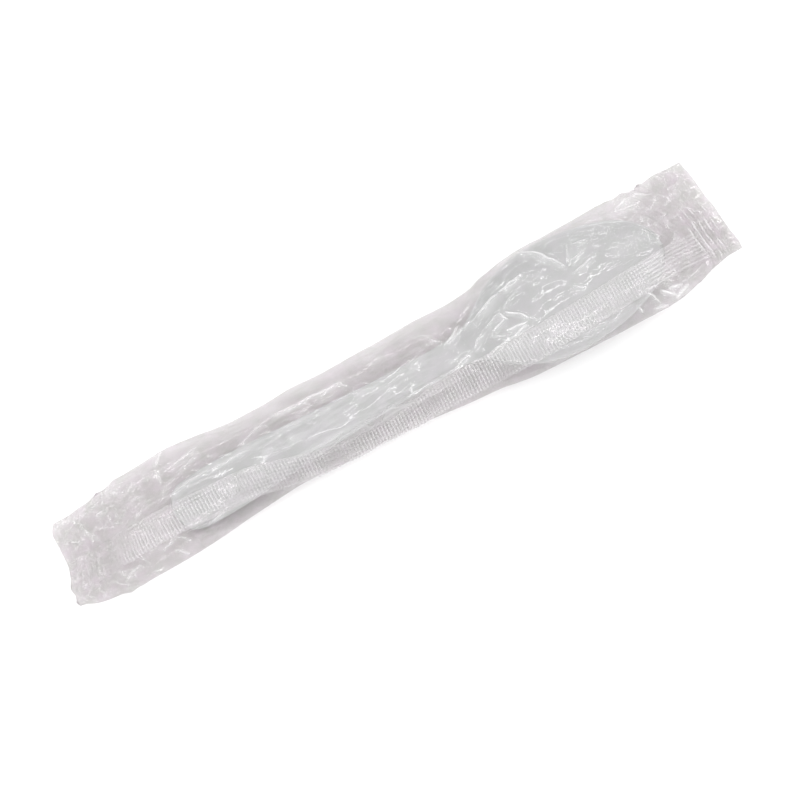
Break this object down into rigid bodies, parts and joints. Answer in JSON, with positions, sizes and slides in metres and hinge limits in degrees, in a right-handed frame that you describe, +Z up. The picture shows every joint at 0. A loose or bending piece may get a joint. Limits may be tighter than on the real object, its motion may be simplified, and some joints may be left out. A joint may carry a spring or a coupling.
{
  "type": "wrapped plastic spoon",
  "caption": "Disposable moulded plastic spoon sealed in a long clear film flow-wrap, with a knurled back seal laid over to one side and crimped end seals.",
  "frame": {"origin": "middle of the footprint, on the surface that the pack lies on", "axes": "+X along the pack from the handle to the bowl, +Z up, out of the bowl's open side"},
  "size_m": [0.205, 0.0343, 0.0124],
  "materials": {
    "clear_film": "thin, clear, glossy and crinkled",
    "white_plastic": "white moulded plastic with a soft sheen"
  },
  "bodies": {
    "root": {"film_wrapper": "clear_film", "spoon": "white_plastic"}
  },
  "joints": []
}
